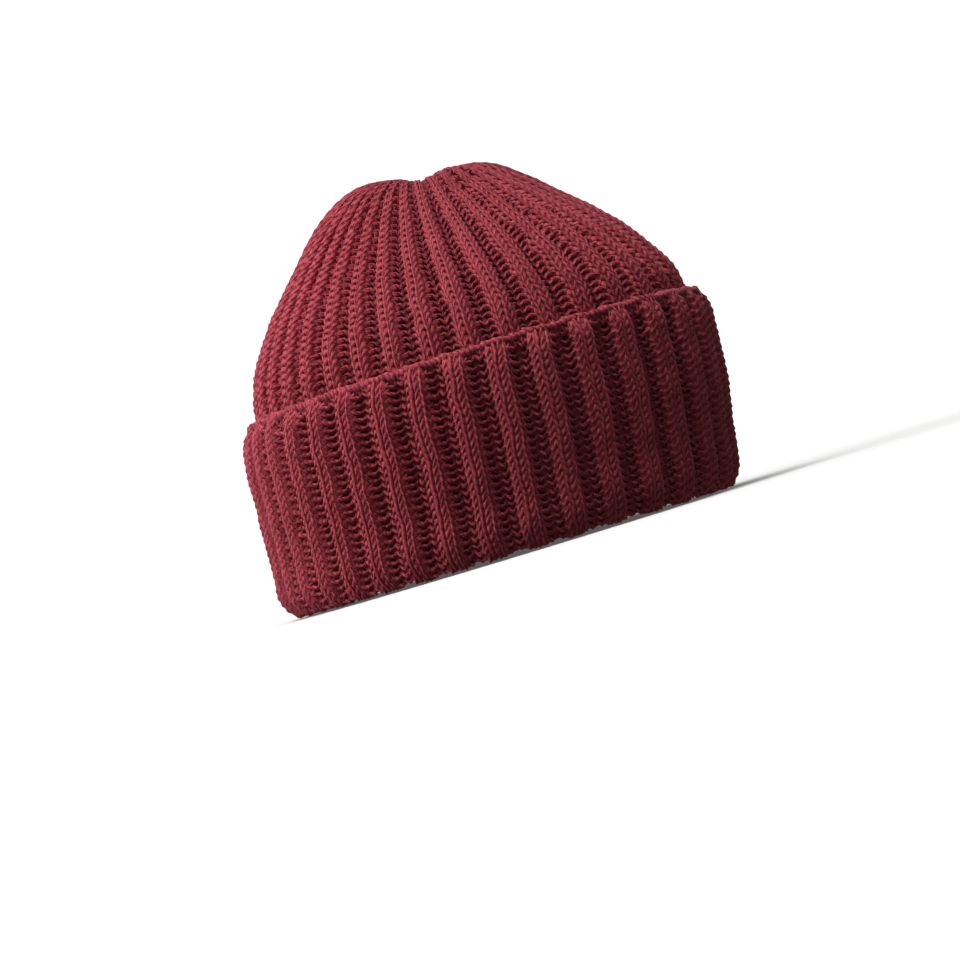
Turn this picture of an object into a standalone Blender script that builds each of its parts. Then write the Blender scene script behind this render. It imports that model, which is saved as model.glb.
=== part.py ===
"""Cuffed beanie in chunky two-by-two rib knit, resting on a table with its crown stood up.

The hat is one knitted tube. It is gathered shut at the top, runs down as the crown, turns outward and up at
the bottom fold, and ends in the cast-on edge of the cuff. Units are metres, +Z is up, the front of the hat
faces -Y, and the origin is the middle of the hat's footprint on the table.
"""

import math
from bisect import bisect_left
from collections import namedtuple

import bmesh
import bpy
from mathutils import Vector

# Overall sizes, measured over the ribs
LENGTH = 0.210  # cuff, front to back
WIDTH = 0.1875  # cuff, side to side
HEIGHT = 0.158  # table to the top of the crown
CUFF_HEIGHT = 0.079  # bottom fold to cast-on edge

# Knitted cloth
CLOTH = 0.0026  # thickness of the cloth, which its ribs bend to and fro
RIB_RELIEF = 0.0024  # how far a rib stands out from a groove
RIBS = 36  # ribs round the hat
RIB_START = -0.3  # first rib's middle, in ribs from the wearer's left side
RIB_STRETCH = 0.06  # how much wider the ribs are drawn on the hat's stretched side
PIECE_GAP = 0.0003  # between the crown's lower rim and the cuff's inner lip

# Bottom fold and cuff
FOLD_RADIUS = 0.0031  # of the middle of the cloth
LIP_RISE = 0.006  # straight inner lip above the fold, which meets the crown
CUFF_SLACK = 0.0010  # extra room between the cuff and the crown at the cast-on edge
CUFF_BULGE = 0.0030  # how far the wall swells between the fold and the cast-on edge
FOOT_PRESS = 0.0004  # how much the table flattens each lobe of the fold

# Gathered top, lean and dents
STRETCH_ANGLE = math.radians(-43)  # the front left side, where the ribs are wide and the hat leans to
LEAN = 0.0045  # how far the cuff leans over the fold
GATHER_DRIFT = Vector((-0.007, -0.012, 0.0))  # gather's place beside the middle of the hat
DRIFT_POWER = 1.5  # how late the courses follow the gather
DENT_DEPTH = 0.003  # unit of the dents' depths
DENT_FADE = 2.0  # how soon the dents fade in above the cuff
DART_DEPTH = 0.0012  # how far the flattened band sinks

BURGUNDY = (0.262, 0.032, 0.048, 1.0)
ROUGHNESS = 0.9
CUTTER_SIZE = 0.5
MERGE_DISTANCE = 1e-6

# A row is one course of the cloth: the half sizes of its oval, its height, its share of the rib relief, the
# place of its middle, and whether it belongs to the crown above the cuff.
Row = namedtuple("Row", "half_width half_length height relief middle above_cuff")

# Crown above the cuff, from the gather down. Rise is a share of the crown's height above the cuff, spread a
# share of the crown's half width and half length at the cuff, relief a share of RIB_RELIEF, and lean of LEAN.
CrownSection = namedtuple("CrownSection", "rise spread relief lean")
CROWN_SECTIONS = (
    CrownSection(rise=0.970, spread=0.060, relief=0.00, lean=0.00),
    CrownSection(rise=1.000, spread=0.230, relief=0.50, lean=0.00),
    CrownSection(rise=0.940, spread=0.350, relief=0.85, lean=0.00),
    CrownSection(rise=0.830, spread=0.472, relief=1.00, lean=0.00),
    CrownSection(rise=0.685, spread=0.605, relief=1.00, lean=0.00),
    CrownSection(rise=0.520, spread=0.755, relief=1.00, lean=0.10),
    CrownSection(rise=0.330, spread=0.888, relief=1.00, lean=0.25),
    CrownSection(rise=0.130, spread=0.978, relief=1.00, lean=0.40),
    CrownSection(rise=0.000, spread=1.000, relief=1.00, lean=0.40),
)

# Wall from the cast-on edge down to the fold. Rise is a share of CUFF_HEIGHT, swell a share of CUFF_BULGE,
# relief a share of RIB_RELIEF, and lean of LEAN.
WallSection = namedtuple("WallSection", "rise swell relief lean")
CUFF_SECTIONS = (
    WallSection(rise=0.985, swell=0.05, relief=0.45, lean=0.45),
    WallSection(rise=0.925, swell=0.55, relief=0.90, lean=0.40),
    WallSection(rise=0.630, swell=1.00, relief=1.00, lean=0.00),
    WallSection(rise=0.330, swell=0.55, relief=1.00, lean=-0.50),
)
CUFF_LINE_SECTION = WallSection(rise=1.000, swell=0.80, relief=1.00, lean=0.40)
FOLD_LEAN = -0.9

# Dents of the crown. Across and along are shares of the half width and half length, reach is a share of the
# width, and depth a share of DENT_DEPTH. A lump has a negative depth.
Dent = namedtuple("Dent", "across along reach depth")
DENTS = (
    Dent(across=-0.32, along=0.20, reach=0.14, depth=-1.30),
    Dent(across=0.28, along=-0.02, reach=0.10, depth=-0.60),
    Dent(across=0.18, along=0.06, reach=0.10, depth=1.60),
    Dent(across=-0.06, along=-0.13, reach=0.08, depth=1.00),
    Dent(across=-0.10, along=-0.29, reach=0.10, depth=0.85),
)
DART_ANGLE = math.radians(-68)
DART_SPAN = math.radians(13)
DART_MIDDLE = 0.42  # share of the crown's spread where the flattened band is deepest
DART_REACH = 0.22
DART_FADE = 0.65  # share of the rib relief that the band takes away

# Places of the four points of a rib along one rib's pitch, from the middle of a rib of the cuff, and the side
# to which the cloth bends there: +1 is away from the crown's outer face.
RibPoint = namedtuple("RibPoint", "place side")
RIB_POINTS = (
    RibPoint(place=-0.18, side=1),
    RibPoint(place=0.18, side=1),
    RibPoint(place=0.32, side=-1),
    RibPoint(place=0.68, side=-1),
)

FOLD_STEPS = 4
OVAL_STEPS = 1440


def clear_scene():
    for thing in list(bpy.data.objects):
        bpy.data.objects.remove(thing)


def new_collection(name):
    collection = bpy.data.collections.new(name)
    bpy.context.scene.collection.children.link(collection)
    return collection


def knit_material(name):
    material = bpy.data.materials.new(name)
    material.use_nodes = True
    shader = material.node_tree.nodes["Principled BSDF"]
    shader.inputs["Base Color"].default_value = BURGUNDY
    shader.inputs["Roughness"].default_value = ROUGHNESS
    shader.inputs["Metallic"].default_value = 0.0
    return material


def over_cloth():
    """From the middle of the cloth to the face of a rib."""
    return RIB_RELIEF / 2 + CLOTH / 2


def widest():
    """Half width and half length of the middle of the cloth where the cuff is widest."""
    return WIDTH / 2 - over_cloth(), LENGTH / 2 - over_cloth()


def rib_angles():
    """Angle and side of each point round a course, with the ribs evenly spaced along the oval."""
    half_width, half_length = widest()
    angles = [math.tau * step / OVAL_STEPS for step in range(OVAL_STEPS + 1)]
    points = [Vector((half_width * math.cos(a), half_length * math.sin(a))) for a in angles]
    run = [0.0]
    for angle, here, there in zip(angles, points, points[1:]):
        stretch = 1.0 + RIB_STRETCH * math.cos(angle - STRETCH_ANGLE)
        run.append(run[-1] + (there - here).length / stretch)

    def angle_at(share):
        place = (share % 1.0) * run[-1]
        after = max(1, bisect_left(run, place))
        part = (place - run[after - 1]) / (run[after] - run[after - 1])
        return angles[after - 1] + part * (angles[after] - angles[after - 1])

    return [
        (angle_at((rib + RIB_START + point.place) / RIBS), point.side)
        for rib in range(RIBS)
        for point in RIB_POINTS
    ]


def leaning(share):
    """Place of a course's middle that leans to the stretched side."""
    return Vector((math.cos(STRETCH_ANGLE), math.sin(STRETCH_ANGLE), 0.0)) * LEAN * share


def wall_row(section, inset):
    """A course of the wall or the cuff, set in from where the cuff is widest."""
    half_width, half_length = widest()
    drawn_in = inset + CUFF_BULGE * (1.0 - section.swell)
    return Row(
        half_width=half_width - drawn_in,
        half_length=half_length - drawn_in,
        height=CUFF_HEIGHT * section.rise,
        relief=section.relief,
        middle=leaning(section.lean),
        above_cuff=False,
    )


def fold_centre_height():
    return FOLD_RADIUS + over_cloth() - FOOT_PRESS


def fold_row(turn, rise=0.0):
    """A course of the fold: turn goes from 0 at the inner lip to 1 at the foot of the cuff."""
    half_width, half_length = widest()
    out = -CUFF_BULGE - FOLD_RADIUS * (1.0 + math.cos(math.pi * turn))
    drop = FOLD_RADIUS * math.sin(math.pi * turn)
    return Row(
        half_width=half_width + out,
        half_length=half_length + out,
        height=fold_centre_height() - drop + rise,
        relief=1.0,
        middle=leaning(FOLD_LEAN),
        above_cuff=False,
    )


def crown_rows():
    """Courses of the crown, from the gather down to the rim above the inner lip."""
    cuff_line = wall_row(CUFF_LINE_SECTION, 2 * FOLD_RADIUS + CUFF_SLACK)
    crown_rise = HEIGHT - over_cloth() - CUFF_HEIGHT
    rows = [
        Row(
            half_width=cuff_line.half_width * section.spread,
            half_length=cuff_line.half_length * section.spread,
            height=CUFF_HEIGHT + crown_rise * section.rise,
            relief=section.relief,
            middle=leaning(section.lean) + GATHER_DRIFT * (1.0 - section.spread) ** DRIFT_POWER,
            above_cuff=section.spread < 1.0,
        )
        for section in CROWN_SECTIONS
    ]
    rows.append(fold_row(0.0, LIP_RISE + PIECE_GAP))
    return rows


def cuff_rows():
    """Courses of the cuff, from the inner lip round the fold and up to the cast-on edge."""
    rows = [fold_row(0.0, LIP_RISE)]
    rows += [fold_row(step / FOLD_STEPS) for step in range(FOLD_STEPS + 1)]
    rows += [wall_row(section, 0.0) for section in reversed(CUFF_SECTIONS)]
    return rows


def profile_normals(rows):
    """Outward and upward parts of the normal of the crown's outer face, carried round the fold."""
    mean = [(row.half_width + row.half_length) / 2 for row in rows]
    normals = []
    for index in range(len(rows)):
        before = max(index - 1, 0)
        after = min(index + 1, len(rows) - 1)
        along = Vector((mean[after] - mean[before], rows[after].height - rows[before].height))
        along.normalize()
        normals.append((-along.y, along.x))
    return normals


def crown_dent(place, spread):
    """How far the crown sinks at a place of its plan."""
    half_width, half_length = widest()
    depth = 0.0
    for dent in DENTS:
        away = Vector((place.x - dent.across * half_width, place.y - dent.along * half_length))
        depth += DENT_DEPTH * dent.depth * math.exp(-((away.length / (dent.reach * WIDTH)) ** 2))
    return depth * min(1.0, DENT_FADE * (1.0 - spread))


def dart_share(angle, spread):
    """How much of the flattened band is felt at an angle and a spread of the crown."""
    turn = math.remainder(angle - DART_ANGLE, math.tau)
    across = math.exp(-((turn / DART_SPAN) ** 2))
    along = math.exp(-(((spread - DART_MIDDLE) / DART_REACH) ** 2))
    return across * along


def cloth_point(row, normal, angle, side):
    """One point of the middle of the ribbed cloth."""
    plan = Vector((math.cos(angle) / row.half_width, math.sin(angle) / row.half_length, 0.0))
    plan.normalize()
    facing = plan * normal[0] + Vector((0.0, 0.0, normal[1]))
    point = Vector((row.half_width * math.cos(angle), row.half_length * math.sin(angle), row.height))
    point += row.middle
    relief = row.relief * RIB_RELIEF / 2
    if row.above_cuff:
        spread = row.half_length / widest()[1]
        dart = dart_share(angle, spread)
        point.z -= crown_dent(point, spread)
        point -= facing * DART_DEPTH * dart
        relief *= 1.0 - DART_FADE * dart
    return point - facing * side * relief


def knit_sheet(name, rows, closed_top, collection):
    """A sheet of cloth through the rows: a grid rolled into a tube, given the cloth's thickness."""
    columns = rib_angles()
    normals = profile_normals(rows)
    shape = bmesh.new()
    bmesh.ops.create_grid(shape, x_segments=len(columns), y_segments=len(rows) - 1, size=1.0)
    for vert in shape.verts:
        column = round((vert.co.x + 1.0) / 2 * len(columns)) % len(columns)
        level = round((1.0 - vert.co.y) / 2 * (len(rows) - 1))
        angle, side = columns[column]
        vert.co = cloth_point(rows[level], normals[level], angle, side)
    bmesh.ops.remove_doubles(shape, verts=shape.verts, dist=MERGE_DISTANCE)
    if closed_top:
        shape.edges.ensure_lookup_table()
        top = [edge for edge in shape.edges if edge.is_boundary and edge.verts[0].co.z > CUFF_HEIGHT]
        bmesh.ops.contextual_create(shape, geom=top)
    bmesh.ops.recalc_face_normals(shape, faces=shape.faces)
    mesh = bpy.data.meshes.new(name)
    shape.to_mesh(mesh)
    shape.free()
    piece = bpy.data.objects.new(name, mesh)
    collection.objects.link(piece)
    piece.data.materials.append(knit_material(f"{name} knit"))
    thickness = piece.modifiers.new("cloth", "SOLIDIFY")
    thickness.thickness = CLOTH
    thickness.offset = 0.0
    return piece


def press_foot(piece, cutters):
    """Flattens the lobes of the fold where they rest on the table."""
    bpy.ops.mesh.primitive_cube_add(size=CUTTER_SIZE, location=(0.0, 0.0, -CUTTER_SIZE / 2))
    table = bpy.context.object
    table.name = "table_cutter"
    for collection in list(table.users_collection):
        collection.objects.unlink(table)
    cutters.objects.link(table)
    table.hide_render = True
    table.display_type = "WIRE"
    cut = piece.modifiers.new("foot", "BOOLEAN")
    cut.operation = "DIFFERENCE"
    cut.solver = "EXACT"
    cut.object = table


def build():
    clear_scene()
    hat = new_collection("cuffed_beanie")
    cutters = new_collection("cutters")
    knit_sheet("crown", crown_rows(), True, hat)
    cuff = knit_sheet("cuff", cuff_rows(), False, hat)
    press_foot(cuff, cutters)


build()
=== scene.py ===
"""A cuffed beanie in burgundy two-by-two rib, knitted here loop by loop, resting on a pale floor.

The cloth is one tube. Its courses are counted from the cast-on edge at the top of the cuff, down to the
bottom fold, up inside as the inner wall, and on over the crown to the gather. Each piece of yarn is modelled
flat, in columns and courses, and then laid on the hat.
"""

import math

import bpy
import numpy as np
from mathutils import Matrix, Vector


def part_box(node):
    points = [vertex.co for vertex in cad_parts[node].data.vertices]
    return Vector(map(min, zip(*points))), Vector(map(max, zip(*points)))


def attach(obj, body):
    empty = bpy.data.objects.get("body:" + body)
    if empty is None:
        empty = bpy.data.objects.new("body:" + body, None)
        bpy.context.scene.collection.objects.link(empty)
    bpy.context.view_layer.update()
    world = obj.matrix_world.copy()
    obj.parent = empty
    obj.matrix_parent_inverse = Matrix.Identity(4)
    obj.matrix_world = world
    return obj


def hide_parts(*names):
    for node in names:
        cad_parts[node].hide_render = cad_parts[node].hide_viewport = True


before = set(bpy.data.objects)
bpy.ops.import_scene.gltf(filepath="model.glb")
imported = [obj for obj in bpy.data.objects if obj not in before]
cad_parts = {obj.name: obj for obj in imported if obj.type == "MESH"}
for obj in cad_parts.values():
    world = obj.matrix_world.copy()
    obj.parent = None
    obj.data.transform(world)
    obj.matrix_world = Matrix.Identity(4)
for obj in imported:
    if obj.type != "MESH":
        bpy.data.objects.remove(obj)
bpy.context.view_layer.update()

CUFF_LOW, CUFF_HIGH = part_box("cuff")
CROWN_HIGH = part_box("crown")[1]

# Cloth, in metres
CLOTH = 0.0026  # thickness of the solids' cloth
RIB_RELIEF = 0.0046  # how far a rib stands out from a groove
OVER_CLOTH = (CLOTH + RIB_RELIEF) / 2
HALF_WIDTH = (CUFF_HIGH.x - CUFF_LOW.x) / 2 - OVER_CLOTH
HALF_LENGTH = (CUFF_HIGH.y - CUFF_LOW.y) / 2 - OVER_CLOTH
EDGE_ABOVE = 0.0005  # from the top of the solid cuff to the height that its sections are shares of
TOP_BELOW = 0.0032  # the same for the crown, downwards
CUFF_HEIGHT = CUFF_HIGH.z + EDGE_ABOVE
TOP_HEIGHT = CROWN_HIGH.z - TOP_BELOW

# Ribs
RIBS = 36
RIB_COLUMNS = 4
COLUMNS = RIBS * RIB_COLUMNS
GROOVE_MIDDLE = 0.25  # from a rib's first column to the middle of its groove, in ribs
RIB_START = -0.3  # place of the first groove of the crown, in ribs from the wearer's left side
RIB_STRETCH = 0.06  # how much wider the ribs are drawn on the hat's stretched side
STRETCH_ANGLE = math.radians(-43)  # the front left side, where the ribs are wide and the hat leans to
RIB_SQUARENESS = 2.6  # how square the ribs are in section
RIB_SKEW = 0.10  # how much steeper one side of a rib is than the other
RIB_WIDENING = 0.12  # how much wider the raised columns are than the sunken ones
GATHER_WIDENING = 0.50  # and how much more of this there is at the gather
COLUMN_RELIEF = 0.0003  # relief of single columns at the gather

# Fold, cuff, lean and gather
FOLD_RADIUS = 0.0031  # of the middle of the cloth
FOLD_TURNS = (1.0, 0.75, 0.5, 0.25, 0.0)
FOLD_RELIEF = 0.55  # relief of the ribs on both sides of the fold, as a share
FOOT_RELIEF = 0.28  # and where the fold is pressed on the floor
FOOT_RISE = 0.0024  # from the floor to the middle of the cloth at the fold
LIP_RISE = 0.006  # straight inner lip above the fold
TURN_OVER = 3.0  # courses over which the cloth turns its other face out at the fold
CUFF_SLACK = 0.0010  # extra room between the cuff and the crown at the cast-on edge
CUFF_BULGE = 0.0030  # how far the wall swells between the fold and the cast-on edge
LEAN = 0.0045  # how far the cuff leans over the fold
FOLD_LEAN = -0.9
GATHER_DRIFT = np.array((-0.007, -0.012))  # the gather's place beside the middle of the hat
DRIFT_POWER = 1.5  # how late the courses follow the gather
PATH_STEPS = 900
TURN_STEPS = 1440

# Sections of the cloth. Rise is a share of the cuff's height, or of the crown's height above the cuff. Swell
# is a share of the cuff's bulge, spread a share of the crown's width at the cuff, relief a share of the ribs'
# relief, and lean a share of LEAN.
CUFF_SECTIONS = (  # rise, swell, relief, lean; the first is past the edge
    (1.030, -0.80, 0.08, 0.45),
    (1.004, 0.00, 0.08, 0.45),
    (0.984, 0.55, 0.15, 0.45),
    (0.952, 0.66, 0.85, 0.42),
    (0.910, 0.78, 1.10, 0.38),
    (0.830, 0.95, 1.05, 0.20),
    (0.630, 1.00, 1.00, 0.00),
    (0.330, 0.55, 0.90, -0.50),
)
CROWN_SECTIONS = (  # rise, spread, relief, lean
    (-0.150, 1.000, 0.55, 0.40),
    (0.000, 1.000, 0.75, 0.40),
    (0.130, 0.978, 1.00, 0.40),
    (0.330, 0.888, 1.00, 0.25),
    (0.520, 0.755, 1.00, 0.10),
    (0.685, 0.605, 1.00, 0.00),
    (0.830, 0.472, 0.85, 0.00),
    (0.940, 0.350, 0.55, 0.00),
    (1.000, 0.230, 0.24, 0.00),
    (1.014, 0.120, 0.13, 0.00),
    (0.990, 0.055, 0.09, 0.00),
    (0.955, 0.020, 0.06, 0.00),
    (0.930, 0.003, 0.04, 0.00),
)
CUFF_LINE_SWELL = 0.80  # swell at the cuff's edge, from which the crown is drawn in

# Dents of the crown, and the flattened band from the gather towards the front
DENT_DEPTH = 0.003
DENT_FADE = 2.0  # how soon the dents fade in as the crown narrows
DENT_START = 2.0  # courses above the cuff's edge over which dents and band set in
DENTS = (  # across and along in half widths and half lengths, reach in widths, depth in DENT_DEPTH
    (-0.32, 0.20, 0.14, -1.30),
    (0.28, -0.02, 0.10, -0.60),
    (0.18, 0.06, 0.10, 1.60),
    (-0.06, -0.13, 0.08, 1.00),
    (-0.10, -0.29, 0.10, 0.85),
    (-0.18, -0.22, 0.035, 0.90),
    (-0.12, -0.35, 0.040, -0.50),
    (-0.19, -0.43, 0.030, 0.90),
    (-0.01, -0.49, 0.025, 0.60),
)
DART_ANGLE = math.radians(-68)
DART_SPAN = math.radians(13)
DART_MIDDLE = 0.42  # spread of the crown where the flattened band is deepest
DART_REACH = 0.22
DART_FADE = 0.65  # share of the ribs' relief that the band takes away
DART_DEPTH = 0.0012

# Yarn
KNIT, PURL = 1, -1
RIB_KINDS = (PURL, PURL, KNIT, KNIT)
GATHER_KINDS = (KNIT, KNIT)
FLAT_COLUMN = 0.0043  # width of a loop
ROW_PITCH = 0.00295
DRAWN_OUT = 1.3  # how much longer the stitches are at the gather
YARN_SIDES = 4
YARN_RADIUS = 0.00098
YARN_UNEVENNESS = 0.13  # how much the yarn's thickness varies, as a share of it
UNEVEN_WAVES = 3.0  # thick places in one repeat of a course
UNEVEN_START = 1.0  # where in its wave a repeat starts, in radians
LOOP_STEPS = 8
LOOP_SWING = 0.35  # sideways swing of a loop, in columns
PULLED_SWING = 0.20  # and of one pulled towards the gather
GATHERED_SWING = 0.08  # and of one in the gather
LOOP_REACH = 1.18  # from a course's middle to the top of its loops, in courses
LOOP_DEPTH = 0.00074  # how far a loop's legs come forward and its ends go back
HEAD_DEPTH = 0.00035  # how much deeper the top of a loop lies than its foot
CHANGE_WIDTH = 0.25  # columns in which yarn goes from one face of the cloth to the other
CHANGE_NUDGE = 1e-6  # keeps a point on the line between two columns in the column after it
TANGENT_STEP = 0.01  # of a column
GATHERED_COLUMN = 0.0014  # width of a loop in the gather, where one takes up two columns
GATHERED_RADIUS = 0.0007
GATHER_SHIFT = 1.0  # columns by which the gather's wider loops are set over, on to ribs and grooves
UNREST = (0.105, 0.130, 0.00026)  # how far stitches stray, in columns, courses and metres
UNREST_SEED = 12
FINER_SPREAD = 0.75  # spread of the crown below which loops stand less and less proud
FINEST = 0.3  # least share of this spread that still counts
FINER_POWER = 1.1

# Pieces of the yarn, in courses
CUFF_SPLIT = 14  # from the cast-on edge
HIDDEN_COURSES = 3  # above the fold and below the cuff's edge, knitted with the cuff and the crown
CROWN_SPLITS = (14, 26, 32)  # above the cuff's edge
PIECE_COURSES = 20  # most courses in one piece

# Map of the yarn: a course takes six rows, one above the other, with six ribs in each
MAP_RIBS = 6
MAP_ROWS = RIBS // MAP_RIBS
EDGE_MAP_RIBS = 18  # a rib of the cast-on edge takes up one part in this many of a row

# Cast-on edge
EDGE_PHASES = (0.0, math.pi)
EDGE_TWIST = 0.00050
EDGE_RADIUS = 0.00115
EDGE_COURSE = 0.20  # where the edge lies along the cloth
EDGE_OUT = 0.0008  # how far the edge lies outside the middle of the cloth

# Ground of the cloth
GROUND_SINK = 0.0006  # how far the ground lies inside the middle of the cloth
GROUND_GRID = (RIBS * 6, 66)
GROUND_THICKNESS = 0.0005
WELD_DISTANCE = 2e-6

# Finish of the yarn
# the yarn's own burgundy, with a shaded copy and a lit copy of it: the ramp between them paints shade and
# highlight on the yarn, as well as its own uneven tone
BURGUNDY = (0.285, 0.031, 0.044)
SHADED_BURGUNDY = (0.150, 0.012, 0.019)
LIT_BURGUNDY = (0.405, 0.060, 0.081)
YARN_TONE_AND_SHADE_RAMP = ((0.05, SHADED_BURGUNDY), (0.95, LIT_BURGUNDY), (0.50, BURGUNDY))
SHEEN_TINT = (1.0, 0.35, 0.42, 1.0)
PLIES = 2
PLY_TURNS = 22  # in a rib
FIBRE_ACROSS = 2.5  # in a ply
FIBRE_ALONG = 14  # in a rib
FIBRE_SCALE = 1.6
FLECK_SCALE = 2300.0
PATCH_SCALE = 140.0
# weights in the yarn's colour: the plies' weight paints highlight on their crests and shade in their creases,
# the flecks' weight paints fibre highlights, and fibres and patches give the yarn's own tone
PLY_HIGHLIGHT_AND_SHADE, FIBRE_SHADE, FLECK_HIGHLIGHT, PATCH_SHADE = 0.85, 1.50, 1.50, 0.50
MIDDLE_SHADE = 1.78  # brings the sum of the shades to the middle of the ramp
PLY_BUMP, FIBRE_BUMP, FLECK_BUMP = 0.8, 0.5, 0.5
YARN_BUMP = 0.0005

# Finish of the ground: a darker copy of the yarn's burgundy, painted shade between the loops
SHADED_GROUND_BURGUNDY = (0.110, 0.009, 0.015)
DEEP_SHADED_GROUND = (0.055, 0.0045, 0.0075)
SHADED_GROUND_RAMP = ((0.2, DEEP_SHADED_GROUND), (0.8, SHADED_GROUND_BURGUNDY))
GROUND_SCALE = 900.0
GROUND_BUMP = 0.0003

# Camera
AZIMUTH = math.radians(-43)
SIDE = Vector((math.cos(AZIMUTH), math.sin(AZIMUTH), 0.0))  # to the camera's right
LOOK = Vector((-math.sin(AZIMUTH), math.cos(AZIMUTH), 0.0))  # level and away from the camera
UP = Vector((0.0, 0.0, 1.0))
DISTANCE = 1.35
EYE_HEIGHT = 0.018
ROLL = math.radians(17)
LENS = 125.3
SENSOR = 36.0
FRAME = 960
BASE_PIXEL = (524, 551)  # where the middle of the hat's foot lies in the photograph's frame
CLOSEST = 0.01  # nearest that the camera sees

# Light
LAMPS = (  # name; direction to the right, away and up as the camera sees it; distance, size, power
    ("key", -0.20, -0.20, 1.00, 1.5, 1.1, 38.0),
    ("left", -1.00, -0.14, 0.18, 1.5, 0.8, 18.0),
)
LAMP_AIM = 0.08 * UP  # the point that the lamps look at
WORLD_COLOUR = (1.0, 1.0, 1.0, 1.0)
WORLD_STRENGTH = 0.16

# Studio bowl
BOWL_REACH = 6.0
BOWL_FLAT = 2.0  # how far it is level
BOWL_CURVE = 0.35
BOWL_STEPS = 96
PALE = (0.55, 0.55, 0.545, 1.0)
FLOOR_GLOW = (0.10, 0.10, 0.10)
MIDDLE_GLOW = (0.75, 0.75, 0.75)
WALL_GLOW = (0.95, 0.95, 0.95)
GLOW_RAMP = ((0.03, FLOOR_GLOW), (0.40, WALL_GLOW), (0.17, MIDDLE_GLOW))  # at shares of BOWL_REACH


# Shape of the hat


def leaning(share):
    return LEAN * share * math.cos(STRETCH_ANGLE), LEAN * share * math.sin(STRETCH_ANGLE)


def wall_section(rise, swell, relief, lean, inset=0.0):
    """A course of a wall: half width, half length, height, relief, and how far its middle leans."""
    drawn_in = inset + CUFF_BULGE * (1.0 - swell)
    return (HALF_WIDTH - drawn_in, HALF_LENGTH - drawn_in, CUFF_HEIGHT * rise, relief, *leaning(lean))


def fold_section(turn, rise=0.0):
    """A course of the fold, from the inner lip at 0 to the foot of the cuff at 1."""
    out = -CUFF_BULGE - FOLD_RADIUS * (1.0 + math.cos(math.pi * turn))
    down = math.sin(math.pi * turn)
    height = FOLD_RADIUS * (1.0 - down) + FOOT_RISE + rise
    relief = FOLD_RELIEF + (FOOT_RELIEF - FOLD_RELIEF) * down
    return (HALF_WIDTH + out, HALF_LENGTH + out, height, relief, *leaning(FOLD_LEAN))


def crown_section(rise, spread, relief, lean):
    line = wall_section(1.0, CUFF_LINE_SWELL, relief, lean, 2 * FOLD_RADIUS + CUFF_SLACK)
    height = CUFF_HEIGHT + (TOP_HEIGHT - CUFF_HEIGHT) * rise
    drift = GATHER_DRIFT * (1.0 - spread) ** DRIFT_POWER
    return (line[0] * spread, line[1] * spread, height, relief, line[4] + drift[0], line[5] + drift[1])


def smooth_between(knots, values, at):
    """Values on smooth cubic curves through the rows of a table."""
    slopes = np.gradient(values, knots, axis=0)
    after = np.clip(np.searchsorted(knots, at), 1, len(knots) - 1)
    span = (knots[after] - knots[after - 1])[:, None]
    part = (at - knots[after - 1])[:, None] / span
    back = 1.0 - part
    return (
        (1.0 + 2.0 * part) * back**2 * values[after - 1]
        + part * back**2 * span * slopes[after - 1]
        + part**2 * (1.0 + 2.0 * back) * values[after]
        - part**2 * back * span * slopes[after]
    )


def run_of(sections):
    """Distance along the cloth to each section."""
    mean = sections[:, :2].mean(axis=1)
    steps = np.hypot(np.diff(mean), np.diff(sections[:, 2]))
    return np.concatenate(([0.0], np.cumsum(steps)))


def cloth_path():
    """Closely spaced sections from the cast-on edge to the gather, with their courses and their normals."""
    rows = [wall_section(*section) for section in CUFF_SECTIONS]
    rows += [fold_section(turn) for turn in FOLD_TURNS]
    rows += [fold_section(0.0, LIP_RISE)]
    rows += [crown_section(*section) for section in CROWN_SECTIONS]
    rows = np.array(rows)
    knots = run_of(rows)
    fine = smooth_between(knots, rows, np.linspace(0.0, knots[-1], PATH_STEPS))
    run = run_of(fine)
    mean = fine[:, :2].mean(axis=1)
    along = np.stack((np.gradient(mean, run), np.gradient(fine[:, 2], run)), axis=1)
    along /= np.linalg.norm(along, axis=1)[:, None]
    pitch = ROW_PITCH * (1.0 + DRAWN_OUT * np.clip(1.0 - fine[:, 1] / HALF_LENGTH, 0.0, 1.0) ** 2)
    course = np.concatenate(([0.0], np.cumsum(np.diff(run) / pitch[1:])))
    course -= np.interp(knots[1], run, course)
    return course, np.column_stack((fine, along[:, 1], -along[:, 0]))


def turns():
    """Shares of the way round, in evenly wide ribs, against angles."""
    angles = np.linspace(0.0, math.tau, TURN_STEPS + 1)
    around = np.stack((HALF_WIDTH * np.cos(angles), HALF_LENGTH * np.sin(angles)), axis=1)
    steps = np.linalg.norm(np.diff(around, axis=0), axis=1)
    steps /= 1.0 + RIB_STRETCH * np.cos(angles[:-1] - STRETCH_ANGLE)
    run = np.concatenate(([0.0], np.cumsum(steps)))
    return run / run[-1], angles


PATH_COURSES, PATH = cloth_path()
COURSES = PATH_COURSES[-1]
FOLD_COURSE = PATH_COURSES[PATH[:, 2].argmin()]
CUFF_LINE_COURSE = PATH_COURSES[(PATH_COURSES > FOLD_COURSE) & (PATH[:, 2] > CUFF_HEIGHT)][0]
TURN_SHARES, TURN_ANGLES = turns()
STRAYS = np.random.default_rng(UNREST_SEED).normal(size=(int(COURSES) + 3, COLUMNS, 3)) * UNREST


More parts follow.
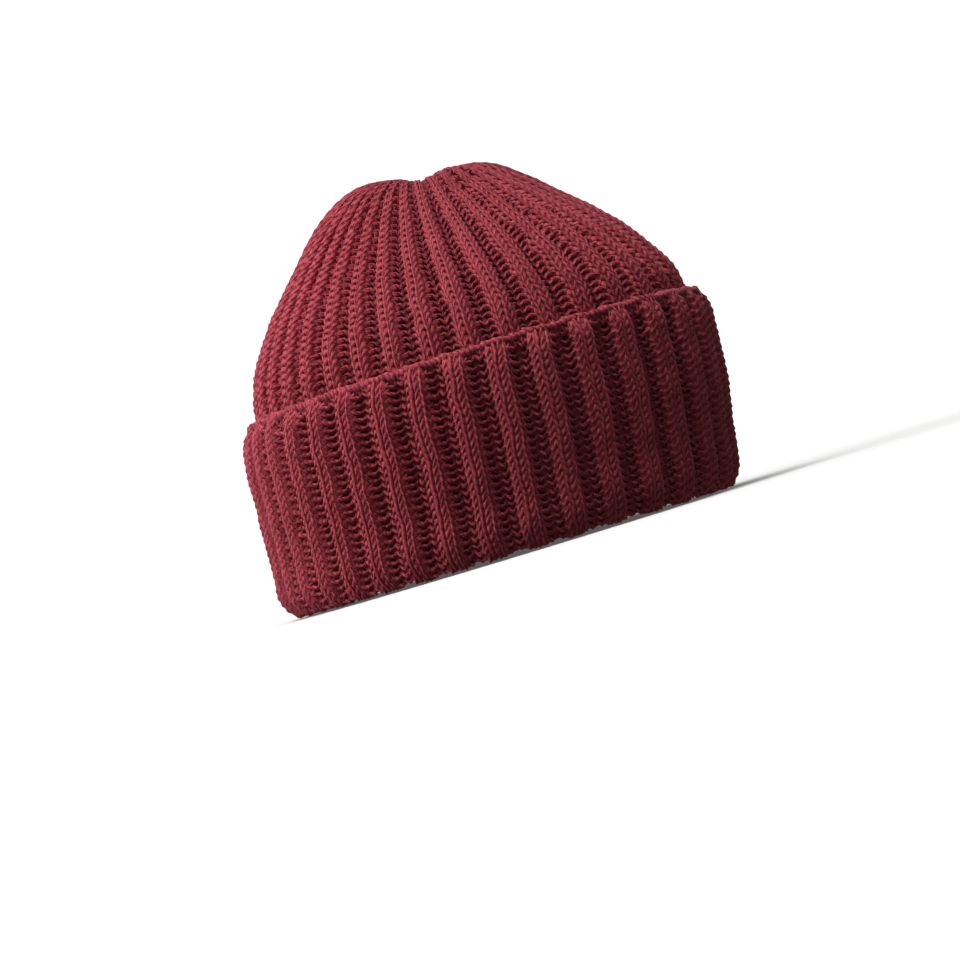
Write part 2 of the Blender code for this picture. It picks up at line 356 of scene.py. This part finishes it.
def straying(column, course):
    """How far the stitch at a column and course strays, drawn smoothly from its neighbours."""
    low_column, low_course = np.floor(column), np.floor(course)
    right, up = (column - low_column)[:, None], (course - low_course)[:, None]
    near = low_column.astype(int) % COLUMNS
    far = (near + 1) % COLUMNS
    row = np.clip(low_course.astype(int), 0, len(STRAYS) - 2)
    lower = STRAYS[row, near] * (1 - right) + STRAYS[row, far] * right
    upper = STRAYS[row + 1, near] * (1 - right) + STRAYS[row + 1, far] * right
    return lower * (1 - up) + upper * up


def turned_over(course):
    """Which face of the cloth is out: -1 on the cuff and 1 on the crown."""
    return np.tanh((course - FOLD_COURSE) / TURN_OVER)


def crown_dent(x, y, spread):
    depth = np.zeros_like(x)
    for across, along, reach, share in DENTS:
        away = np.hypot(x - across * HALF_WIDTH, y - along * HALF_LENGTH)
        depth += DENT_DEPTH * share * np.exp(-((away / (reach * 2 * HALF_WIDTH)) ** 2))
    return depth * np.clip(DENT_FADE * (1.0 - spread), 0.0, 1.0)


def dart_share(angle, spread):
    turn = (angle - DART_ANGLE + math.pi) % math.tau - math.pi
    return np.exp(-((turn / DART_SPAN) ** 2)) * np.exp(-(((spread - DART_MIDDLE) / DART_REACH) ** 2))


def on_hat(column, course, rise):
    """Places on the hat of points given by column, course and height over the middle of the cloth."""
    stray = straying(column, course)
    column, course, rise = column + stray[:, 0], course + stray[:, 1], rise + stray[:, 2]
    half_width, half_length, height, relief, mid_x, mid_y, out, up = (
        np.interp(course, PATH_COURSES, PATH[:, part]) for part in range(8)
    )
    place = column / RIB_COLUMNS - GROOVE_MIDDLE
    outside = turned_over(course)
    spread = half_length / HALF_LENGTH
    drawn_in = np.clip(1.0 - spread, 0.0, 1.0)
    widening = RIB_WIDENING * outside + GATHER_WIDENING * drawn_in**2
    wide = place - widening * np.sin(math.tau * place) / math.tau
    angle = np.interp((wide + RIB_START) / RIBS % 1.0, TURN_SHARES, TURN_ANGLES)
    across, along = np.cos(angle), np.sin(angle)
    plan = np.stack((across / half_width, along / half_length), axis=1)
    plan /= np.linalg.norm(plan, axis=1)[:, None]
    facing = np.column_stack((plan * out[:, None], up))
    points = np.column_stack((half_width * across + mid_x, half_length * along + mid_y, height))
    above = np.clip((course - CUFF_LINE_COURSE) / DENT_START, 0.0, 1.0)
    dart = dart_share(angle, spread) * above
    points[:, 2] -= crown_dent(points[:, 0], points[:, 1], spread) * above
    skewed = math.tau * place + RIB_SKEW * outside * np.cos(math.tau * place)
    wave = np.tanh(RIB_SQUARENESS * np.cos(skewed)) / math.tanh(RIB_SQUARENESS)
    lift = -RIB_RELIEF / 2 * relief * wave * (1.0 - DART_FADE * dart) - DART_DEPTH * dart
    lift -= COLUMN_RELIEF * drawn_in * np.cos(math.tau * column)
    finer = np.clip(spread / FINER_SPREAD, FINEST, 1.0) ** FINER_POWER
    return points + facing * (lift + rise * finer)[:, None]


# Modelling helpers


def deselect():
    for thing in bpy.context.selected_objects:
        thing.select_set(False)


def vertices_of(piece):
    places = np.empty(len(piece.data.vertices) * 3, np.float32)
    piece.data.vertices.foreach_get("co", places)
    return places.reshape(-1, 3).astype(float)


def set_vertices(piece, places):
    piece.data.vertices.foreach_set("co", places.astype(np.float32).ravel())
    piece.data.update()


def grid(name, across, along):
    """A flat grid from 0 to 1 each way."""
    deselect()
    bpy.ops.mesh.primitive_grid_add(x_subdivisions=across, y_subdivisions=along, size=1.0)
    piece = bpy.context.object
    piece.name = name
    set_vertices(piece, vertices_of(piece) + (0.5, 0.5, 0.0))
    return piece


def repeat(piece, count, step, map_step):
    bpy.ops.object.modifier_add(type="ARRAY")
    array = piece.modifiers[-1]
    array.count = count
    array.use_relative_offset = False
    array.use_constant_offset = True
    array.constant_offset_displace = step
    array.offset_u, array.offset_v = map_step
    bpy.ops.object.modifier_apply(modifier=array.name)


def shrink_map(piece, across, along):
    layer = piece.data.uv_layers.active
    layer.name = "OFBake"
    places = np.empty(len(layer.uv) * 2, np.float32)
    layer.uv.foreach_get("vector", places)
    layer.uv.foreach_set("vector", (places.reshape(-1, 2) * (across, along)).astype(np.float32).ravel())


def weld():
    bpy.ops.object.mode_set(mode="EDIT")
    bpy.ops.mesh.select_all(action="SELECT")
    bpy.ops.mesh.remove_doubles(threshold=WELD_DISTANCE)
    bpy.ops.object.mode_set(mode="OBJECT")


def finish_piece(piece, material, nodes):
    piece.data.materials.clear()
    piece.data.materials.append(material)
    bpy.ops.object.shade_smooth()
    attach(piece, "root")
    for node in nodes:
        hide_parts(node)
    return piece


# Materials


class Wire:
    """A shader socket that sums and products can be written with."""

    def __init__(self, tree, socket):
        self.tree = tree
        self.socket = socket

    def maths(self, operation, *values):
        node = self.tree.nodes.new("ShaderNodeMath")
        node.operation = operation
        for place, value in enumerate(values):
            plug(self.tree, node.inputs[place], value)
        return Wire(self.tree, node.outputs[0])

    def __add__(self, other):
        return self.maths("ADD", self, other)

    def __sub__(self, other):
        return self.maths("SUBTRACT", self, other)

    def __rsub__(self, other):
        return self.maths("SUBTRACT", other, self)

    def __mul__(self, other):
        return self.maths("MULTIPLY", self, other)

    __radd__ = __add__
    __rmul__ = __mul__

    def humps(self):
        """A smooth hump for each whole step."""
        return self.maths("ABSOLUTE", self.maths("SINE", self * math.pi))


def plug(tree, socket, value):
    if isinstance(value, Wire):
        tree.links.new(value.socket, socket)
    else:
        socket.default_value = value


class Finish:
    """A Principled material and the nodes that feed it."""

    def __init__(self, name, **constants):
        self.material = bpy.data.materials.new(name)
        self.material.use_nodes = True
        self.tree = self.material.node_tree
        self.shader = self.tree.nodes["Principled BSDF"]
        self.set(**constants)

    def set(self, **values):
        for name, value in values.items():
            plug(self.tree, self.shader.inputs[name.replace("_", " ")], value)

    def node(self, kind, output=0, settings=None, ramp=(), **sockets):
        """Any node. A ramp's lowest and highest stops come first, and the others after them."""
        node = self.tree.nodes.new(kind)
        for name, value in (settings or {}).items():
            setattr(node, name, value)
        for place, (at, colour) in enumerate(ramp):
            stops = node.color_ramp.elements
            stop = stops[place] if place < 2 else stops.new(at)
            stop.position = at
            stop.color = (*colour, 1.0)
        for name, value in sockets.items():
            plug(self.tree, node.inputs[name.replace("_", " ")], value)
        return Wire(self.tree, node.outputs[output])

    def noise(self, scale, detail):
        where = self.node("ShaderNodeTexCoord", "Object")
        return self.node("ShaderNodeTexNoise", "Fac", Vector=where, Scale=scale, Detail=detail)


def yarn_finish(name):
    """Plied yarn: its plies and fibres follow the yarn's own map, and its flecks and patches the hat. Its
    colour has painted highlight on the plies' crests, painted shade in their creases and painted fibre
    highlights in the flecks.
    """
    finish = Finish(name, Roughness=0.85, Specular_IOR_Level=0.12)
    finish.set(Sheen_Weight=0.15, Sheen_Roughness=0.5, Sheen_Tint=SHEEN_TINT)
    plan = finish.node("ShaderNodeUVMap", settings={"uv_map": "OFBake"})
    along, around = (finish.node("ShaderNodeSeparateXYZ", part, Vector=plan) for part in (0, 1))
    twist = along * (MAP_RIBS * PLY_TURNS) + around * (MAP_ROWS * PIECE_COURSES * PLIES)
    # the plies' humps make real bumps, and in the colour painted highlight on their crests and painted shade
    # in their creases
    ply = twist.humps()
    across_fibres, along_fibres = twist * FIBRE_ACROSS, along * (MAP_RIBS * FIBRE_ALONG)
    lie = finish.node("ShaderNodeCombineXYZ", X=across_fibres, Y=along_fibres, Z=0.0)
    fibre = finish.node("ShaderNodeTexNoise", Vector=lie, Scale=FIBRE_SCALE, Detail=3.0)
    fleck = finish.noise(FLECK_SCALE, 2.0)
    patch = finish.noise(PATCH_SCALE, 2.0)
    # colour: painted highlight and shade from the plies and flecks, and the yarn's own tone from fibres and
    # patches
    shade = ply * PLY_HIGHLIGHT_AND_SHADE + fibre * FIBRE_SHADE + fleck * FLECK_HIGHLIGHT + patch * PATCH_SHADE - MIDDLE_SHADE
    colour = finish.node("ShaderNodeValToRGB", ramp=YARN_TONE_AND_SHADE_RAMP, Fac=shade)
    height = ply * PLY_BUMP + fibre * FIBRE_BUMP + fleck * FLECK_BUMP
    bump = finish.node("ShaderNodeBump", Strength=1.0, Distance=YARN_BUMP, Height=height)
    finish.set(Base_Color=colour, Normal=bump)
    return finish.material


def shaded_ground_finish(name):
    """Felted fibres in painted deep shade: a darker copy of the yarn's burgundy."""
    finish = Finish(name, Roughness=1.0, Specular_IOR_Level=0.0)
    patch = finish.noise(GROUND_SCALE, 3.0)
    colour = finish.node("ShaderNodeValToRGB", ramp=SHADED_GROUND_RAMP, Fac=patch)
    bump = finish.node("ShaderNodeBump", Strength=0.5, Distance=GROUND_BUMP, Height=patch)
    finish.set(Base_Color=colour, Normal=bump)
    return finish.material


YARN = yarn_finish("burgundy yarn")
SHADED_GROUND = shaded_ground_finish("burgundy ground in painted shade")


# Yarn


def side_of(along, kinds):
    """Which face of the cloth a loop's legs are on: it changes between a knit and a purl."""
    kinds = np.array(kinds, float)
    column = np.floor(along + CHANGE_NUDGE).astype(int)
    part = along - column
    here = kinds[column % len(kinds)]
    before = kinds[(column - 1) % len(kinds)]
    after = kinds[(column + 1) % len(kinds)]
    start = np.clip(0.5 + part / CHANGE_WIDTH, 0.5, 1.0)
    end = np.clip(0.5 + (1.0 - part) / CHANGE_WIDTH, 0.5, 1.0)
    return here * (start + end - 1.0) + before * (1.0 - start) + after * (1.0 - end)


def loop_line(along, kinds, width, swing):
    """Middle of the yarn along a course, in metres, with the loops' tops upwards."""
    turn = math.tau * (along % 1.0) - math.pi
    across = (along + swing * np.sin(2 * turn)) * width
    up = ROW_PITCH * LOOP_REACH * np.cos(turn)
    rise = -(LOOP_DEPTH * np.cos(2 * turn) + HEAD_DEPTH * np.cos(turn)) * side_of(along, kinds)
    return np.column_stack((across, up, rise))


def rope_line(along, width, phase):
    """Middle of one of two yarns twisted round each other, in metres."""
    turn = math.tau * along + phase
    return np.column_stack((along * width, EDGE_TWIST * np.cos(turn), EDGE_TWIST * np.sin(turn)))


def yarn(name, line, columns, width, radius):
    """A grid rolled round a line: one repeat of a course, in columns and courses."""
    piece = grid(name, columns * LOOP_STEPS, YARN_SIDES)
    flat = vertices_of(piece)
    along, around = flat[:, 0] * columns, flat[:, 1] * math.tau
    tangent = line(along + TANGENT_STEP) - line(along - TANGENT_STEP)
    side = np.cross(tangent, (0.0, 0.0, 1.0))
    side /= np.linalg.norm(side, axis=1)[:, None]
    over = np.cross(side, tangent)
    over /= np.linalg.norm(over, axis=1)[:, None]
    unevenness = np.sin(flat[:, 0] * math.tau * UNEVEN_WAVES + UNEVEN_START)
    thickness = radius * (1.0 + YARN_UNEVENNESS * unevenness)
    skin = thickness[:, None] * (side * np.cos(around)[:, None] + over * np.sin(around)[:, None])
    set_vertices(piece, (line(along) + skin) / (width, ROW_PITCH, 1.0))
    return piece


def all_round(piece, columns, map_width):
    """Repeats one rib's yarn for every rib, on six rows of the map."""
    row_height = 1 / (MAP_ROWS * PIECE_COURSES)
    shrink_map(piece, map_width, row_height)
    repeat(piece, MAP_RIBS, (columns, 0.0, 0.0), (map_width, 0.0))
    repeat(piece, MAP_ROWS, (MAP_RIBS * columns, 0.0, 0.0), (0.0, row_height))


def courses(name, first, end, slot, nodes, kinds, width, radius, swing, shift):
    """Courses of loops laid on the hat. The cloth's columns are shared out over the loops of a repeat."""
    columns = len(kinds)

    def line(along):
        """The loops' line, read one repeat further on, where no column is negative."""
        return loop_line(along + columns, kinds, width, swing) - (columns * width, 0.0, 0.0)

    piece = yarn(name, line, columns, width, radius)
    all_round(piece, columns, 1 / MAP_RIBS)
    repeat(piece, end - first, (0.0, 1.0, 0.0), (0.0, 1 / PIECE_COURSES))
    flat = vertices_of(piece)
    column = flat[:, 0] * (RIB_COLUMNS / columns) + shift
    set_vertices(piece, on_hat(column, flat[:, 1] + first + 0.5, flat[:, 2]))
    weld()
    return finish_piece(piece, YARN, nodes)


def cast_on_edge():
    """Two yarns twisted round each other along the top of the cuff."""
    made = []
    for strand, phase in enumerate(EDGE_PHASES):

        def line(along, phase=phase):
            return rope_line(along, FLAT_COLUMN, phase)

        piece = yarn(f"cast_on_strand_{strand + 1}", line, RIB_COLUMNS, FLAT_COLUMN, EDGE_RADIUS)
        all_round(piece, RIB_COLUMNS, 1 / EDGE_MAP_RIBS)
        flat = vertices_of(piece)
        set_vertices(piece, on_hat(flat[:, 0], flat[:, 1] + EDGE_COURSE, flat[:, 2] - EDGE_OUT))
        weld()
        made.append(finish_piece(piece, YARN, ("cuff",)))
    return made


def knit():
    """The cast-on edge and all the courses, in pieces."""
    plain = {
        "kinds": RIB_KINDS,
        "width": FLAT_COLUMN,
        "radius": YARN_RADIUS,
        "swing": LOOP_SWING,
        "shift": 0.0,
    }
    pulled = {**plain, "swing": PULLED_SWING}
    gathered = {
        "kinds": GATHER_KINDS,
        "width": GATHERED_COLUMN,
        "radius": GATHERED_RADIUS,
        "swing": GATHERED_SWING,
        "shift": GATHER_SHIFT,
    }
    line = round(CUFF_LINE_COURSE)
    inner_first, inner_end = round(FOLD_COURSE) + HIDDEN_COURSES, line - HIDDEN_COURSES
    lower_end, middle_end, upper_end = (line + split for split in CROWN_SPLITS)
    bands = (
        ("cuff_upper_courses", 0, CUFF_SPLIT, "cuff_knit", ("cuff",), plain),
        ("cuff_lower_courses", CUFF_SPLIT, inner_first, "cuff_knit", ("cuff",), plain),
        ("inner_wall_courses", inner_first, inner_end, "crown_knit", ("cuff", "crown"), plain),
        ("crown_lower_courses", inner_end, lower_end, "crown_knit", ("crown",), plain),
        ("crown_middle_courses", lower_end, middle_end, "crown_knit", ("crown",), plain),
        ("crown_upper_courses", middle_end, upper_end, "crown_knit", ("crown",), pulled),
        ("gather_courses", upper_end, int(COURSES), "crown_knit", ("crown",), gathered),
    )
    return cast_on_edge() + [courses(*band, **stitch) for *band, stitch in bands]


def ground_cloth():
    """The felted ground of the cloth, a sheet under the loops; it is coloured dark as painted shade, which
    shows between the loops.
    """
    piece = grid("cloth_ground", *GROUND_GRID)
    flat = vertices_of(piece)
    course = flat[:, 1] * COURSES
    set_vertices(piece, on_hat(flat[:, 0] * COLUMNS, course, -GROUND_SINK * turned_over(course)))
    weld()
    bpy.ops.object.modifier_add(type="SOLIDIFY")
    wall = piece.modifiers[-1]
    wall.thickness = GROUND_THICKNESS
    wall.offset = 0.0
    bpy.ops.object.modifier_apply(modifier=wall.name)
    return finish_piece(piece, SHADED_GROUND, ("crown", "cuff"))


# Studio


def studio_bowl():
    """A pale floor that curves up far away on all sides, so that no horizon shows.

    It glows a little, so that it looks white, but it throws no light on the hat.
    """
    deselect()
    steps, size = BOWL_STEPS, 2 * BOWL_REACH
    bpy.ops.mesh.primitive_grid_add(x_subdivisions=steps, y_subdivisions=steps, size=size)
    piece = bpy.context.object
    piece.name = "studio_floor"
    places = vertices_of(piece)
    past = np.maximum(np.hypot(places[:, 0], places[:, 1]) - BOWL_FLAT, 0.0)
    places[:, 2] = past**2 * BOWL_CURVE
    set_vertices(piece, places)
    bpy.ops.object.shade_smooth()
    finish = Finish("pale studio floor", Base_Color=PALE, Roughness=0.8, Specular_IOR_Level=0.1)
    where = finish.node("ShaderNodeTexCoord", "Object")
    away = finish.node("ShaderNodeVectorMath", "Value", {"operation": "LENGTH"}, Vector=where)
    glow = finish.node("ShaderNodeValToRGB", ramp=GLOW_RAMP, Fac=away * (1 / BOWL_REACH))
    finish.set(Emission_Color=glow, Emission_Strength=1.0)
    piece.data.materials.append(finish.material)
    piece.visible_diffuse = False


def camera():
    right = SIDE * math.cos(ROLL) - UP * math.sin(ROLL)
    top = SIDE * math.sin(ROLL) + UP * math.cos(ROLL)
    place = -LOOK * DISTANCE + UP * EYE_HEIGHT
    lens = bpy.data.cameras.new("camera")
    lens.lens = LENS
    lens.sensor_width = SENSOR
    lens.clip_start = CLOSEST
    to_base = -place
    depth = to_base.dot(LOOK)
    lens.shift_x = to_base.dot(right) / depth * LENS / SENSOR - (BASE_PIXEL[0] - FRAME / 2) / FRAME
    lens.shift_y = to_base.dot(top) / depth * LENS / SENSOR + (BASE_PIXEL[1] - FRAME / 2) / FRAME
    eye = bpy.data.objects.new("camera", lens)
    eye.matrix_world = Matrix.Translation(place) @ Matrix((right, top, -LOOK)).transposed().to_4x4()
    bpy.context.scene.collection.objects.link(eye)
    bpy.context.scene.camera = eye


def lamp(name, right, away, up, distance, size, power):
    """A soft square light, looking at the hat."""
    aim = (SIDE * right + LOOK * away + UP * up).normalized()
    glow = bpy.data.lights.new(name, "AREA")
    glow.size = size
    glow.energy = power
    piece = bpy.data.objects.new(name, glow)
    piece.location = aim * distance + LAMP_AIM
    piece.rotation_euler = aim.to_track_quat("Z", "Y").to_euler()
    bpy.context.scene.collection.objects.link(piece)


def studio_light():
    for settings in LAMPS:
        lamp(*settings)
    world = bpy.data.worlds.new("studio")
    world.use_nodes = True
    background = world.node_tree.nodes["Background"]
    background.inputs["Color"].default_value = WORLD_COLOUR
    background.inputs["Strength"].default_value = WORLD_STRENGTH
    bpy.context.scene.world = world
    bpy.context.scene.view_settings.view_transform = "Standard"


camera()
studio_light()
studio_bowl()
ground = ground_cloth()
yarns = knit()
